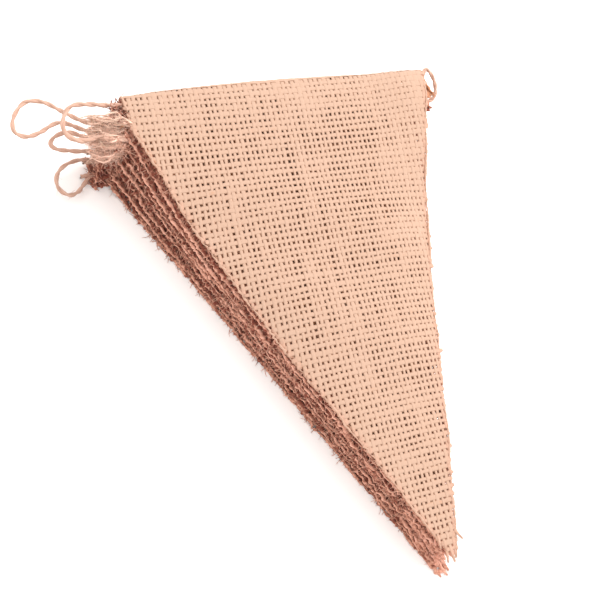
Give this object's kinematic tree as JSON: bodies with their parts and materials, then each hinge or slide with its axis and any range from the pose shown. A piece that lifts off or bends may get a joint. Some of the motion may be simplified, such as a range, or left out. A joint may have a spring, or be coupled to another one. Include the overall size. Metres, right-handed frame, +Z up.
{
  "type": "burlap pennant bunting",
  "caption": "Triangular burlap pennants strung on a jute twine through their folded headers, gathered flat into a stack with the twine looping out between them.",
  "frame": {"origin": "middle of the bounding box, on the surface that the stack lies on", "axes": "+X along the pennants' headers, +Y from the tips towards the headers, +Z up out of the surface"},
  "size_m": [0.1928, 0.2119, 0.0361],
  "materials": {
    "burlap": "open plain weave of undyed jute yarn, matte, cut edges frayed",
    "jute_twine": "two-ply twisted jute, matte, hairy"
  },
  "bodies": {
    "root": {"pennant_1": "burlap", "pennant_2": "burlap", "pennant_3": "burlap", "pennant_4": "burlap", "pennant_5": "burlap", "pennant_6": "burlap", "pennant_7": "burlap", "pennant_8": "burlap", "twine": "jute_twine"}
  },
  "joints": []
}
